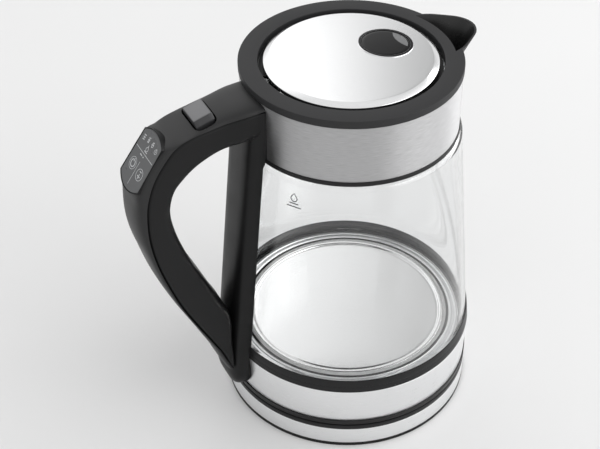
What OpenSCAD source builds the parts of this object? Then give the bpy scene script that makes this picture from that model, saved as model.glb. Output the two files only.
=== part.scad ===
// Cordless glass kettle on a round power base.
// +Z is up, +X points to the spout, the handle is at -X.
// The origin is the centre of the base's underside.

/* [Power base] */
// Radius of the power base and of the jug's foot
body_r = 78; // [77.5:0.5:78.5]
// Height of the power base's top face
base_top = 18; // [17.8:0.1:18.2]
// Thickness of the sheet of the steel bands
sheet = 0.6; // [0.5:0.05:0.7]
// Radius of the bore that the cord leaves by
cord_bore_r = 3.6; // [3.2:0.1:4.0]

/* [Jug] */
// Radius of the glass at its foot
glass_foot_r = 76.4; // [76.2:0.1:76.5]
// Radius of the glass just under its shoulder
glass_top_r = 64.9; // [64.5:0.1:65.3]
// Radius of the glass neck behind the upper band
neck_r = 61.2; // [61:0.1:61.3]
// Thickness of the glass
glass_wall = 2.6; // [2.2:0.1:3.0]
// Radius of the upper steel band
upper_band_r = 62.7; // [62.6:0.1:62.8]

/* [Collar and lid] */
// Height of the collar's top face
collar_top = 234.5; // [234.4:0.1:234.8]
// Outer radius of the collar's ring
collar_r = 63.2; // [63:0.1:63.6]
// Radius of the collar's mouth
mouth_r = 52.2; // [52.1:0.1:52.8]
// Outer radius of the lid
lid_r = 49.4; // [49.2:0.1:49.6]
// Rise of the lid's dome above its bevel
dome_rise = 2.4; // [2:0.1:2.6]
// Reach of the spout's tip from the axis
spout_reach = 80; // [78:0.5:82]
// Thickness of the spout's wall
spout_wall = 2; // [1.8:0.1:2.6]
// Radius of the round window in the lid
lens_r = 14; // [12:0.5:14.5]

/* [Handle] */
// Width of the grip across its two side walls
grip_w = 28; // [26:0.5:29]
// Width of the liner strip between the grip and the jug
liner_w = 32; // [31:0.5:34]
// Thickness of the grip's walls
grip_wall = 2.4; // [2:0.1:2.8]
// Slope of the control panel above the horizontal, along the handle
panel_tilt = 55; // [53:1:57]
// Width of the control panel
panel_w = 24; // [22:0.5:24.5]
// Length and depth of the release button
button_l = 13; // [12:0.5:13.5]
// Slope of the release button's face
button_tilt = 15; // [14:0.5:16]

/* [Hidden] */
$fn = 96;

eps = 0.01;
gap = 0.1;

// Heights of the stack, from the table up
cover_z = 1;
base_band_z = 2.7;
base_rim_z = 14.8;
jug_z = base_top + 0.8;
lower_band_z = 22.3;
foot_ring_z = 47.6;
foot_ring_top = 56.5;
glass_z = 50.2;
shoulder_z = 188.6;
neck_ring_z = 192.5;
upper_band_z = 195.3;
neck_top = 206;
ring_z = 230.3;

// Screws, feet and the cord's way out of the base
base_screw_r = 62;
base_foot_r = 66;
jug_screw_r = 66;
cord_z = 8.4;
cord_y = 68;
gland_half = 5.6;
clamp_top = 5.6;

// Connector in the middle of the base, with two ring-shaped slots
tower_r = 15.5;
tower_z = 13;
tower_top = 30;
slot_z = 20;
slots = [7, 11];
slot_w = 2;
shutter_z = 24;
shutter_r = 4.13;

// Lid: a bevel round a shallow dome, with the round window off its centre
bevel_r = lid_r - 3.6;
bevel_z = 236.1;
rim_z = 234.1;
lid_sheet = 0.8;
dome_r = (bevel_r * bevel_r + dome_rise * dome_rise) / (2 * dome_rise);
dome_top = bevel_z + dome_rise;
lens_x = 22;
lens_rim = 1.7;

// Lid hinge: its axis runs along Y, just inside the lid's rear edge
hinge_x = -44;
hinge_z = 233.2;
pin_r = 1.25;
pin_clear = 0.07;
knuckle_y = 6;
lug_y = 6.4;
lug_t = 3;

// Latch bar, which slides along X through the collar into the handle
latch_z = 220.2;
latch_tip_x = -49.2;
latch_half_w = 3;
latch_half_h = 1.4;
ramp_x = -93.5;
ramp_z = 217.7;
ramp_h = 3.2;
ramp_gap = 0.42;

// Screws that hold the handle: one through the collar's wall, one out of the foot's housing
bracket_screw_z = 216.3;
foot_screw_z = 36;

// Release button's frame and the control panel's frame
button_at = [-94.25, 0, 229];
panel_at = [-126.75, 0, 209];
panel_straight = 25;
panel_top_rise = 3.5;
panel_foot_rise = 5;

// Side outlines of the handle in the XZ plane, from the collar round to the heel: the ridge where
// the side walls end, and the crest of the rounded cover over it.
ridge = [
    [-66.9, 226.3], [-75, 225.7], [-89.6, 223.8], [-102.7, 221.9], [-112.2, 219.1],
    [-118.5, 211.9], [-125.8, 200.9], [-131.2, 186.2], [-131.9, 172], [-131.2, 158],
    [-128.6, 143], [-123.4, 125], [-116.2, 105], [-106.5, 84.5], [-95, 62], [-87, 42]
];
crest = [
    [-63.6, 231.2], [-74.5, 230.3], [-89, 227.6], [-102, 224.8], [-113.5, 221.8],
    [-124, 213.5], [-133, 200.5], [-138.6, 185.5], [-139.2, 172], [-138, 160],
    [-135, 148], [-130, 130], [-122.5, 110.5], [-112.2, 88.5], [-100, 63.5], [-89.2, 42]
];
// Inner edge of the grip round the finger gap, from the foot of the gap up to its top corner
gap_edge = [
    [-83.6, 83.6], [-88.5, 95.5], [-95.7, 110.2], [-100.2, 119.4], [-105.2, 130.7],
    [-109.6, 142], [-113, 152], [-115.4, 161.4], [-117, 170.6], [-117, 179],
    [-115, 186.8], [-110.6, 194], [-104.9, 199.4], [-97.5, 203.4], [-88.4, 206.5], [-68.4, 209.4]
];
// Middle line of the flat cable inside the grip, from the foot to the panel's board
ribbon_path = [
    [-90.5, 56], [-98, 74], [-107, 92], [-115.5, 111], [-121.5, 131], [-125.3, 151],
    [-126.3, 171], [-125.5, 187], [-122.5, 196.5]
];

function liner_x(z) = -70.7 - 0.103 * (188 - z);
function circle_points(c, r, a0, a1, n) =
    [for (i = [0 : n]) let (a = a0 + (a1 - a0) * i / n) [c[0] + r * cos(a), c[1] + r * sin(a)]];
function reversed(list) = [for (i = [len(list) - 1 : -1 : 0]) list[i]];
function between(a, b, t) = [for (i = [0 : len(a) - 1]) a[i] + (b[i] - a[i]) * t];
function unit(v) = v / norm(v);
function side_of(path, i) =
    let (d = unit(path[min(i + 1, len(path) - 1)] - path[max(i - 1, 0)])) [-d[1], d[0]];
function strip(path, half) = concat(
    [for (i = [0 : len(path) - 1]) path[i] + side_of(path, i) * half],
    reversed([for (i = [0 : len(path) - 1]) path[i] - side_of(path, i) * half]));

module revolve(points) {
    rotate_extrude() polygon(points);
}

// Ring with a rectangular section
module tube(r_out, r_in, z0, z1) {
    revolve([[r_in, z0], [r_out, z0], [r_out, z1], [r_in, z1]]);
}

// Prism with an outline in the XZ plane, centred on Y
module side_prism(width) {
    rotate([90, 0, 0]) linear_extrude(width, center = true) children();
}

module block(x0, x1, y0, y1, z0, z1) {
    translate([x0, y0, z0]) cube([x1 - x0, y1 - y0, z1 - z0]);
}

// Cylinder along Y
module y_rod(x, z, r, y0, y1) {
    translate([x, y0, z]) rotate([-90, 0, 0]) cylinder(r = r, h = y1 - y0);
}

// Small coil spring drawn as a stack of closed turns
module coil(r, wire, height, turns) {
    pitch = (height - 2 * wire) / (turns - 1);
    for (i = [0 : turns - 1])
        translate([0, 0, wire + i * pitch]) rotate_extrude() translate([r, 0]) circle(r = wire, $fn = 24);
}

module ring_of(count, r, start = 0) {
    for (i = [0 : count - 1]) rotate(start + i * 360 / count) translate([r, 0, 0]) children();
}

// ---- Power base ----

module base_bottom_cover() {
    color("#1c1c1e") difference() {
        revolve([
            [0, cover_z], [75.4, cover_z], [75.4, 0], [body_r - 0.3, 0], [body_r, 0.3],
            [body_r, base_band_z], [0, base_band_z]
        ]);
        ring_of(4, base_foot_r, 45) cylinder(r = 6.1, h = cover_z + 0.8);
        ring_of(3, base_screw_r, 30) cylinder(r = 1.5, h = 4);
        ring_of(3, base_screw_r, 30) cylinder(r = 2.9, h = cover_z + 1);
    }
}

module base_feet() {
    color("#2b2b2d") ring_of(4, base_foot_r, 45) cylinder(r = 6, h = cover_z + 0.8);
}

// Notch in the base's wall that the cord gland slides into, open at its lower edge
module gland_notch() {
    block(-gland_half, gland_half, cord_y, cord_y + 14, 0, cord_z + gland_half);
}

module base_shell() {
    color("#232325") difference() {
        union() {
            revolve([
                [16.2, base_top - 2.2], [75, base_top - 2.2], [75, base_band_z], [77.1, base_band_z],
                [77.3, base_rim_z], [body_r, base_rim_z], [body_r, base_top - 0.6],
                [body_r - 0.6, base_top], [16.2, base_top]
            ]);
            ring_of(3, base_screw_r, 30)
                translate([0, 0, base_band_z]) cylinder(r = 4, h = base_top - 2 - base_band_z);
            for (side = [-1, 1])
                block(8 * side - 3, 8 * side + 3, 55, 62, clamp_top + gap, base_top - 2);
        }
        ring_of(3, base_screw_r, 30) cylinder(r = 1.25, h = 12);
        gland_notch();
        for (side = [-1, 1]) translate([8 * side, 58.5, 0]) cylinder(r = 1, h = 15);
    }
}

module base_steel_band() {
    color("#d4d6d8") difference() {
        revolve([
            [77.15, base_band_z], [77.15 + sheet, base_band_z],
            [77.35 + sheet, base_rim_z - eps], [77.35, base_rim_z - eps]
        ]);
        gland_notch();
    }
}

module base_screws() {
    color("#8d9094") ring_of(3, base_screw_r, 30) {
        translate([0, 0, cover_z + 0.2]) cylinder(r = 2.7, h = 0.8);
        translate([0, 0, cover_z + 0.9]) cylinder(r = 1.25, h = 9);
    }
}

module connector_tower() {
    color("#3a3a3c") difference() {
        union() {
            translate([0, 0, tower_z]) cylinder(r = 20, h = base_top - 2.3 - tower_z);
            translate([0, 0, tower_z]) cylinder(r = tower_r, h = tower_top - tower_z);
        }
        translate([0, 0, tower_z + 3]) cylinder(r = 4.2, h = tower_top);
        for (r = slots) tube(r + slot_w, r, slot_z, tower_top + 1);
    }
}

module connector_contacts() {
    color("#c9a55a") for (r = slots) tube(r + 0.6, r + 0.1, slot_z + 0.1, tower_top - 2);
}

module shutter_spring() {
    color("#b8babd") translate([0, 0, tower_z + 3.1]) coil(2.6, 0.4, 4.2, 4);
}

module connector_shutter() {
    color("#e4e2dc") translate([0, 0, shutter_z - 3]) cylinder(r = shutter_r, h = 3);
}

module cord_gland() {
    half = gland_half - gap;
    lip = gland_half + 0.7;
    color("#1d1d1f") difference() {
        union() {
            block(-half, half, cord_y, cord_y + 11, cord_z - half, cord_z + half);
            block(-lip, lip, cord_y + 10.15, cord_y + 11.5, cord_z - half, cord_z + lip);
        }
        translate([0, cord_y - 1, cord_z]) rotate([-90, 0, 0]) cylinder(r = cord_bore_r, h = 14);
    }
}

module cord_clamp() {
    color("#4a4a4d") {
        difference() {
            block(-12, 12, 56, 61, 3.2, clamp_top);
            for (side = [-1, 1]) translate([8 * side, 58.5, 0]) cylinder(r = 1.1, h = 9);
            translate([0, 50, cord_z]) rotate([-90, 0, 0]) cylinder(r = cord_bore_r, h = 20);
        }
    }
}

// ---- Foot of the jug ----

module jug_bottom_cover() {
    color("#242426") difference() {
        revolve([
            [20.4, lower_band_z - 2], [50, lower_band_z - 2], [50, base_top + 0.05],
            [56, base_top + 0.05], [56, lower_band_z - 2], [74, lower_band_z - 2], [74, jug_z],
            [body_r - 0.5, jug_z], [body_r, jug_z + 0.5], [body_r, lower_band_z],
            [76.5, lower_band_z], [20.4, lower_band_z]
        ]);
        ring_of(3, jug_screw_r, 90) cylinder(r = 1.6, h = 40);
        ring_of(3, jug_screw_r, 90) translate([0, 0, lower_band_z - 2.5]) cylinder(r = 3, h = 1.5);
    }
}

module jug_bottom_screws() {
    color("#8d9094") ring_of(3, jug_screw_r, 90) {
        translate([0, 0, lower_band_z - 1.9]) cylinder(r = 2.8, h = 0.9);
        translate([0, 0, lower_band_z - 1.1]) cylinder(r = 1.3, h = 10);
    }
}

module lower_housing() {
    color("#2a2a2c") difference() {
        union() {
            revolve([
                [73.6, lower_band_z + gap], [76.6, lower_band_z + gap], [77.2, foot_ring_z - gap],
                [62.6, foot_ring_z - gap], [62.6, foot_ring_z - 3], [74, foot_ring_z - 3]
            ]);
            ring_of(3, jug_screw_r, 90) translate([0, 0, lower_band_z + gap])
                cylinder(r = 4, h = foot_ring_z - 3 - lower_band_z);
            ring_of(3, jug_screw_r, 90) translate([0, -2, lower_band_z + gap])
                cube([76 - jug_screw_r, 4, foot_ring_z - 3 - lower_band_z]);
        }
        ring_of(3, jug_screw_r, 90) cylinder(r = 1.3, h = 36);
        translate([-84, 0, foot_screw_z]) rotate([0, 90, 0]) cylinder(r = 2.1, h = 12);
    }
}

module lower_steel_band() {
    color("#d8dadc") difference() {
        revolve([
            [76.7, lower_band_z + eps], [76.7 + sheet, lower_band_z + eps],
            [77.35 + sheet, foot_ring_z - eps], [77.35, foot_ring_z - eps]
        ]);
        translate([-84, 0, foot_screw_z]) rotate([0, 90, 0]) cylinder(r = 2.1, h = 12);
    }
}

module jug_connector() {
    color("#e6e3da") revolve([
        [tower_r + 0.8, jug_z + 0.4], [20.3, jug_z + 0.4], [20.3, 34], [0, 34], [0, 31],
        [tower_r + 0.8, 31]
    ]);
}

module jug_contact_pins() {
    color("#c9a55a") {
        for (r = slots) tube(r + 1.5, r + 0.9, slot_z + 1.5, 31);
        translate([0, 0, shutter_z + 0.05]) cylinder(r = 2, h = 31 - shutter_z - 0.05);
    }
}

module heating_plate() {
    color("#e8e9ea") revolve([
        [0, foot_ring_z + 0.2], [62.1, foot_ring_z + 0.2], [62.1, 49.4], [61.6, 49.7],
        [60, 49.7], [59.4, 48.9], [0, 48.9]
    ]);
}

module heat_spreader() {
    color("#b9bbbe") tube(56, eps, foot_ring_z - 2, foot_ring_z + 0.2);
}

module heating_element() {
    color("#9a9c9e") {
        rotate([0, 0, 20]) rotate_extrude(angle = 320)
            translate([44, foot_ring_z - 2 - 3.6]) circle(r = 3.6, $fn = 48);
        for (a = [20, 340]) rotate(a) translate([44, 0, 31]) cylinder(r = 2.2, h = 13);
    }
}

module thermal_cutouts() {
    color("#b5651d") for (a = [90, 210])
        rotate(a) translate([20, 0, foot_ring_z - 2 - 5]) cylinder(r = 7, h = 5);
}

module temperature_sensor() {
    color("#c8cacc") rotate(330) translate([20, 0, foot_ring_z - 2 - 6]) cylinder(r = 3, h = 6);
}

module control_board() {
    color("#2f6b3c") {
        difference() {
            block(-33, 33, -27, 27, 34.1, 35.7);
            for (a = [20, 340]) rotate(a) translate([44, 0, 0]) cylinder(r = 3, h = 60);
        }
        block(-28, -12, 8, 22, 35.7, 39);
        block(10, 26, -24, -12, 35.7, 39);
        translate([-24, -16, 35.7]) cylinder(r = 4, h = 4);
    }
}

// ---- Glass and its seals ----

module plate_gasket() {
    color("#b8b8b6") revolve([
        [62.2, foot_ring_z], [73.6, foot_ring_z], [73.6, 49.8], [76.4, 49.8], [76.4, glass_z - eps],
        [73, glass_z - eps], [72.4, 49.3], [62.2, 49.3]
    ]);
}

module glass_foot_ring() {
    color("#2c2c2e") revolve([
        [73.7, foot_ring_z], [body_r, foot_ring_z], [77, foot_ring_top], [76.5, foot_ring_top],
        [76.5, 49.7], [73.7, 49.7]
    ]);
}

module glass_body() {
    shoulder_c = [61, shoulder_z];
    inner_r = glass_top_r - 61 - 1;
    color([0.85, 0.9, 0.92, 0.35]) revolve(concat(
        [[glass_foot_r, glass_z], [glass_foot_r, foot_ring_top]],
        circle_points(shoulder_c, glass_top_r - 61, 0, 87, 8),
        [[neck_r, neck_ring_z - 0.2], [neck_r, neck_top], [neck_r - glass_wall, neck_top]],
        [[neck_r - glass_wall, shoulder_z + 1.6]],
        circle_points([neck_r - glass_wall, shoulder_z - 2.2], inner_r, 88, 0, 6),
        [[glass_foot_r - glass_wall, foot_ring_top], [glass_foot_r - glass_wall, glass_z]]
    ));
}

module neck_ring() {
    color("#262628") revolve([
        [neck_r + 0.1, neck_ring_z + 0.02], [63, neck_ring_z + 0.02], [63.4, neck_ring_z + 0.4],
        [63.4, upper_band_z - 0.3], [63.1, upper_band_z], [neck_r + 0.1, upper_band_z]
    ]);
}

module neck_gasket() {
    color("#a8a8a6") tube(neck_r, neck_r - glass_wall, neck_top + eps, neck_top + 0.9);
}

// ---- Collar, spout and upper band ----

// Plan of the spout, from its root on one side round the nose to the other, inset by a wall
module spout_plan(inset) {
    half = 20 - inset;
    nose = spout_reach - inset;
    side = [[52, half + 3], [63, half], [70, 15.2 - inset], [74, 11.8 - inset]];
    nose_r = 7 - inset / 2;
    polygon(concat(side,
        [for (a = [50 : -20 : -50]) [nose - nose_r + nose_r * cos(a), (nose_r + 1.6) * sin(a)]],
        reversed([for (p = side) [p[0], -p[1]]])));
}

// Beak from the collar's top down to its foot on the upper band
module spout_beak(inset, top) {
    foot_z = 205 + inset * 1.6;
    hull() {
        translate([0, 0, top - 0.5]) linear_extrude(0.5) spout_plan(inset);
        translate([0, 0, top - 5]) linear_extrude(0.5) spout_plan(inset + 0.4);
        translate([56, 0, foot_z + 8]) rotate([0, 90, 0])
            cylinder(r = 8, h = 8.5 - inset, $fn = 32);
    }
}

module latch_window(x0, x1) {
    block(x0, x1, -latch_half_w - 0.6, latch_half_w + 0.6, latch_z - 2, latch_z + 2);
}

module hinge_lug() {
    translate([hinge_x, 0, hinge_z]) side_prism(lug_t) union() {
        circle(r = 1.9);
        polygon([
            [-1.3, -1.2], [1.2, 0.9], [5.4, -6.7], [3.5, -12.5], [-15, -16.5], [-15, -10.7],
            [0.9, -7], [1.1, -4]
        ]);
    }
}

module collar() {
    color("#3b3b3d") difference() {
        union() {
            revolve([
                [mouth_r, collar_top], [collar_r - 0.3, collar_top], [collar_r, collar_top - 0.3],
                [collar_r, ring_z + 0.6], [upper_band_r - 0.1, ring_z], [61.95, ring_z],
                [61.95, upper_band_z + 0.7], [61.3, upper_band_z + 0.7], [61.3, neck_top + 1],
                [57.6, neck_top + 1], [57.6, 224], [mouth_r, 228.6]
            ]);
            difference() {
                spout_beak(0, collar_top);
                cylinder(r = 61.8, h = 300);
            }
            for (side = [-1, 1]) translate([0, side * (lug_y + lug_t / 2), 0]) hinge_lug();
        }
        intersection() {
            spout_beak(spout_wall, collar_top + 0.1);
            difference() {
                translate([0, 0, 180]) cylinder(r = 90, h = 100);
                translate([0, 0, 226]) cylinder(r = 58.8, h = 14);
            }
        }
        y_rod(hinge_x, hinge_z, pin_r, -lug_y - lug_t - 1, lug_y + lug_t + 1);
        latch_window(-66, -50);
        translate([-66, 0, bracket_screw_z]) rotate([0, 90, 0]) cylinder(r = 2, h = 9);
    }
}

module upper_steel_band() {
    color("#c9cbcd") difference() {
        tube(upper_band_r, 62.05, upper_band_z + eps, ring_z - 0.05);
        spout_beak(-0.6, collar_top + 1);
        latch_window(-66, -60);
        translate([-66, 0, bracket_screw_z]) rotate([0, 90, 0]) cylinder(r = 2.1, h = 6);
    }
}

module spout_filter() {
    color("#8f9194") intersection() {
        difference() {
            tube(57.4, 56.6, 209, 223.8);
            for (row = [0 : 3], k = [-6 : 6])
                rotate(k * 2.1) translate([50, 0, 211.9 + row * 3]) rotate([0, 90, 0])
                    cylinder(r = 0.75, h = 12, $fn = 16);
        }
        block(40, 70, -15, 15, 200, 230);
    }
}

module hinge_pin() {
    color("#c2c4c6") y_rod(hinge_x, hinge_z, pin_r, -lug_y - lug_t, lug_y + lug_t);
}

// ---- Handle ----

// Outside of the jug, grown by a clearance
module jug_outside(clear) {
    revolve([
        [0, 0], [body_r + clear, 0], [body_r + clear, foot_ring_z], [77 + clear, foot_ring_top],
        [glass_foot_r + clear, foot_ring_top + 0.5], [glass_top_r + clear, shoulder_z + 1.6],
        [63.6 + clear, neck_ring_z], [63.4 + clear, upper_band_z],
        [upper_band_r + clear, upper_band_z + 0.5], [upper_band_r + clear, ring_z],
        [collar_r + clear, ring_z], [collar_r + clear, 260], [0, 260]
    ]);
}

module grip_inside() {
    offset(delta = -grip_wall) polygon(concat(crest, grip_inner(), [ridge[0]]));
}

// Inner boundary of the grip, from the heel up the liner and round the finger gap
function grip_inner() =
    concat([[liner_x(42) - gap, 42], [liner_x(82) - gap, 82]], gap_edge);

module handle_liner() {
    color("#1f1f21") difference() {
        side_prism(liner_w) polygon([
            [-58, 226.2], [liner_x(226.2), 226.2], [liner_x(35), 35], [-86, 29],
            [-83.2, 25.7], [-79, 24.4], [-66, 24.4]
        ]);
        jug_outside(0.2);
        latch_window(-72, -60);
        translate([-75, 0, bracket_screw_z]) rotate([0, 90, 0]) cylinder(r = 2.1, h = 16);
        translate([-84, 0, foot_screw_z]) rotate([0, 90, 0]) cylinder(r = 2.1, h = 12);
    }
}

module handle_shell() {
    color("#252527") difference() {
        side_prism(grip_w) polygon(concat(ridge, grip_inner()));
        difference() {
            side_prism(grip_w - 2 * grip_wall) grip_inside();
            for (side = [-1, 1]) translate([-94.25, 7 * side, 200]) cylinder(r = 3, h = 16);
            difference() {
                block(-85.2, -83.6, -20, 20, 200, 223);
                block(-86, -83, -2.3, 2.3, latch_z - 1.3, 226);
            }
        }
        latch_window(-76, -60);
        translate([-80, 0, bracket_screw_z]) rotate([0, 90, 0]) cylinder(r = 2.1, h = 16);
        panel_frame() translate([0, 0, -9]) linear_extrude(12) panel_plan(1.15);
    }
}

// Rounded cover over the grip's open side, built up in three steps towards its crest
module handle_cover() {
    steps = [[1, 0, 0.5], [0.82, 0.5, 0.82], [0.52, 0.82, 1]];
    color("#343436") difference() {
        union() {
            for (s = steps) side_prism(grip_w * s[0])
                polygon(concat(between(ridge, crest, s[2]), reversed(between(ridge, crest, s[1]))));
        }
        side_prism(grip_w * 0.4) grip_inside();
        jug_outside(0.4);
        button_frame() translate([-7.4, -11.2, -9]) cube([14.8, 22.4, 14]);
        panel_frame() translate([0, 0, -9]) linear_extrude(20) panel_plan(1.15);
    }
}

module handle_bracket() {
    color("#aeb0b3") difference() {
        block(-72.8, -71.4, -9, 9, bracket_screw_z - 1.4, bracket_screw_z + 2.4);
        translate([-80, 0, bracket_screw_z]) rotate([0, 90, 0]) cylinder(r = 2.1, h = 16);
    }
}

module handle_screws() {
    color("#8d9094") {
        translate([-74.8, 0, bracket_screw_z]) rotate([0, 90, 0]) {
            cylinder(r = 2.4, h = 2);
            cylinder(r = 2, h = 14.4);
        }
        translate([-84, 0, foot_screw_z]) rotate([0, 90, 0]) {
            cylinder(r = 2, h = 10.4);
            translate([0, 0, 10.5]) cylinder(r = 3.2, h = 1.8);
        }
    }
}

module handle_ribbon() {
    color("#6b6d70") side_prism(6) polygon(strip(ribbon_path, 0.4));
}

// Frame with X up the panel's slope and Z out of its face
module panel_frame() {
    translate(panel_at) rotate([0, -panel_tilt, 0]) children();
}

module panel_plan(grow) {
    half = panel_w / 2;
    top_r = (half * half + panel_top_rise * panel_top_rise) / (2 * panel_top_rise);
    foot_r = (half * half + panel_foot_rise * panel_foot_rise) / (2 * panel_foot_rise);
    reach = panel_straight / 2;
    intersection() {
        translate([0, -half - grow]) square([40, panel_w + 2 * grow]);
        translate([reach + panel_top_rise - top_r, 0]) circle(r = top_r + grow);
    }
    intersection() {
        translate([-40, -half - grow]) square([40 + eps, panel_w + 2 * grow]);
        translate([-reach - panel_foot_rise + foot_r, 0]) circle(r = foot_r + grow);
    }
}

module panel_bezel() {
    color("#161618") panel_frame() difference() {
        translate([0, 0, -8.6]) linear_extrude(8.8) panel_plan(1);
        translate([0, 0, -1.6]) linear_extrude(4) panel_plan(0.1);
        translate([0, 0, -5.4]) linear_extrude(6) panel_plan(-2);
        block(-12, -4, -4, 4, -10, -5);
    }
}

module touch_panel() {
    color("#6e7073") panel_frame() translate([0, 0, -1.5]) linear_extrude(1.5) panel_plan(0);
}

module panel_board() {
    color("#2f6b3c") panel_frame() translate([0, 0, -5.3]) linear_extrude(1.2) panel_plan(-2.2);
}

// ---- Release button and latch ----

// Frame with X along the button's slope and Z out of its face
module button_frame() {
    translate(button_at) rotate([0, -button_tilt, 0]) children();
}

module release_button() {
    half = button_l / 2;
    color("#8f9194") {
        button_frame() rotate([90, 0, 90]) linear_extrude(button_l, center = true) polygon([
            [-half + 0.6, 0], [half - 0.6, 0], [half, -0.6], [9.4, -3], [9.4, -4.2], [-9.4, -4.2],
            [-9.4, -3], [-half, -0.6]
        ]);
        for (side = [-1, 1]) translate([0, side * 3.4, 0]) side_prism(1.8) polygon([
            [-90.6, 226.4], [-90.6, ramp_z + 0.5], [ramp_x - 0.5 + ramp_gap, ramp_z + 0.5],
            [ramp_x - ramp_h + ramp_gap, ramp_z + ramp_h], [ramp_x - ramp_h + ramp_gap, 224.8]
        ]);
    }
}

module button_springs() {
    color("#b8babd") for (side = [-1, 1])
        translate([-94.25, 7 * side, 216.1]) coil(1.7, 0.35, 6.6, 5);
}

module latch_slider() {
    color("#5a5c5f") union() {
        block(-76, latch_tip_x, -latch_half_w, latch_half_w, latch_z - latch_half_h,
            latch_z + latch_half_h);
        block(-97.5, -75, -2, 2, latch_z - 1, latch_z + 1);
        side_prism(8.8) polygon([
            [-99.5, ramp_z], [ramp_x, ramp_z], [ramp_x - ramp_h, ramp_z + ramp_h],
            [-99.5, ramp_z + ramp_h]
        ]);
    }
}

module latch_spring() {
    color("#b8babd") translate([-83.4, 0, latch_z]) rotate([0, 90, 0]) coil(2.7, 0.35, 7.3, 6);
}

// ---- Lid ----

function dome_z(r) = dome_top - dome_r + sqrt(dome_r * dome_r - r * r);

module lens_frame() {
    translate([lens_x, 0, dome_z(lens_x)]) rotate([0, asin(lens_x / dome_r), 0]) children();
}

module lid_cap() {
    rows = 10;
    color("#dfe1e3") difference() {
        revolve(concat(
            [for (i = [0 : rows]) let (r = bevel_r * i / rows) [r, dome_z(r)]],
            [[lid_r - 0.2, rim_z + 0.1], [lid_r, rim_z - 0.2], [lid_r, 232],
             [lid_r - lid_sheet, 232], [lid_r - lid_sheet, rim_z - 0.4]],
            [for (i = [rows : -1 : 0]) let (r = (bevel_r - 0.4) * i / rows) [r, dome_z(r) - lid_sheet]]
        ));
        lens_frame() translate([0, 0, -4]) cylinder(r = lens_r + 0.3, h = 8);
    }
}

module lid_base() {
    color("#29292b") difference() {
        union() {
            difference() {
                revolve([
                    [0, 234.9], [45, 234.9], [48.5, 233.2], [48.5, 231.4], [46.4, 230.8],
                    [46.4, 219.6], [44, 219.6], [44, 231.4], [0, 231.4]
                ]);
                block(-60, -36, -11.5, 11.5, 200, 260);
            }
            block(hinge_x, -34, -knuckle_y, knuckle_y, 231.4, 234.9);
            y_rod(hinge_x, hinge_z, 2.1, -knuckle_y, knuckle_y);
            block(-48.2, -45, -4.6, 4.6, 231.6, 233.1);
            block(-48.4, -46.9, -4, 4, latch_z + latch_half_h + 1.2, 232.6);
        }
        y_rod(hinge_x, hinge_z, pin_r + pin_clear, -30, 30);
        y_rod(hinge_x, hinge_z, 2.5, -2.6, 2.6);
        translate([0, 0, -1]) lens_frame() translate([0, 0, -3]) cylinder(r = lens_r + 1, h = 8);
    }
}

module lid_inner_cover() {
    color("#3a3a3c") difference() {
        revolve([[0, 217.4], [44.5, 217.4], [46.4, 218.4], [46.4, 219.5], [0, 219.5]]);
        block(-60, -36, -11.5, 11.5, 200, 260);
    }
}

module lid_seal() {
    color("#1a1a1b") difference() {
        revolve([
            [46.45, 228.4], [49, 228.4], [51.6, 229.8], [51.6, 230.3], [48.8, 230.3], [46.45, 230.3]
        ]);
        block(-60, -36, -11.5, 11.5, 200, 260);
    }
}

module lid_lens() {
    color([0.2, 0.2, 0.22, 0.9]) lens_frame() translate([0, 0, -2.4])
        cylinder(r = lens_r - 0.02, h = 2.3);
}

module lid_lens_ring() {
    color("#c9cbcd") lens_frame() difference() {
        union() {
            translate([0, 0, -2.4]) cylinder(r = lens_r + 0.28, h = 2.5);
            translate([0, 0, 0.02]) cylinder(r = lens_r + lens_rim, h = 0.2);
        }
        translate([0, 0, -3]) cylinder(r = lens_r, h = 5);
    }
}

module lid_spring() {
    color("#b8babd") translate([hinge_x, -2.3, hinge_z]) rotate([-90, 0, 0]) coil(1.75, 0.33, 4.6, 7);
}

base_bottom_cover();
base_feet();
base_shell();
base_steel_band();
base_screws();
connector_tower();
connector_contacts();
shutter_spring();
cord_gland();
cord_clamp();
connector_shutter();
jug_bottom_cover();
jug_bottom_screws();
jug_connector();
jug_contact_pins();
lower_housing();
lower_steel_band();
heating_plate();
heat_spreader();
heating_element();
thermal_cutouts();
temperature_sensor();
control_board();
plate_gasket();
glass_foot_ring();
glass_body();
neck_ring();
neck_gasket();
upper_steel_band();
collar();
spout_filter();
hinge_pin();
handle_liner();
handle_shell();
handle_cover();
handle_bracket();
handle_screws();
handle_ribbon();
panel_bezel();
touch_panel();
panel_board();
button_springs();
latch_spring();
release_button();
latch_slider();
lid_cap();
lid_base();
lid_inner_cover();
lid_seal();
lid_lens();
lid_lens_ring();
lid_spring();
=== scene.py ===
"""Looks of a cordless glass kettle on its power base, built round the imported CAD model.

Lengths are in millimetres and turn into metres when a mesh is made, but the stage is set in metres.
+X points to the spout and the handle is at -X.
"""
import math

import bmesh
import bpy
from mathutils import Matrix, Vector


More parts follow.
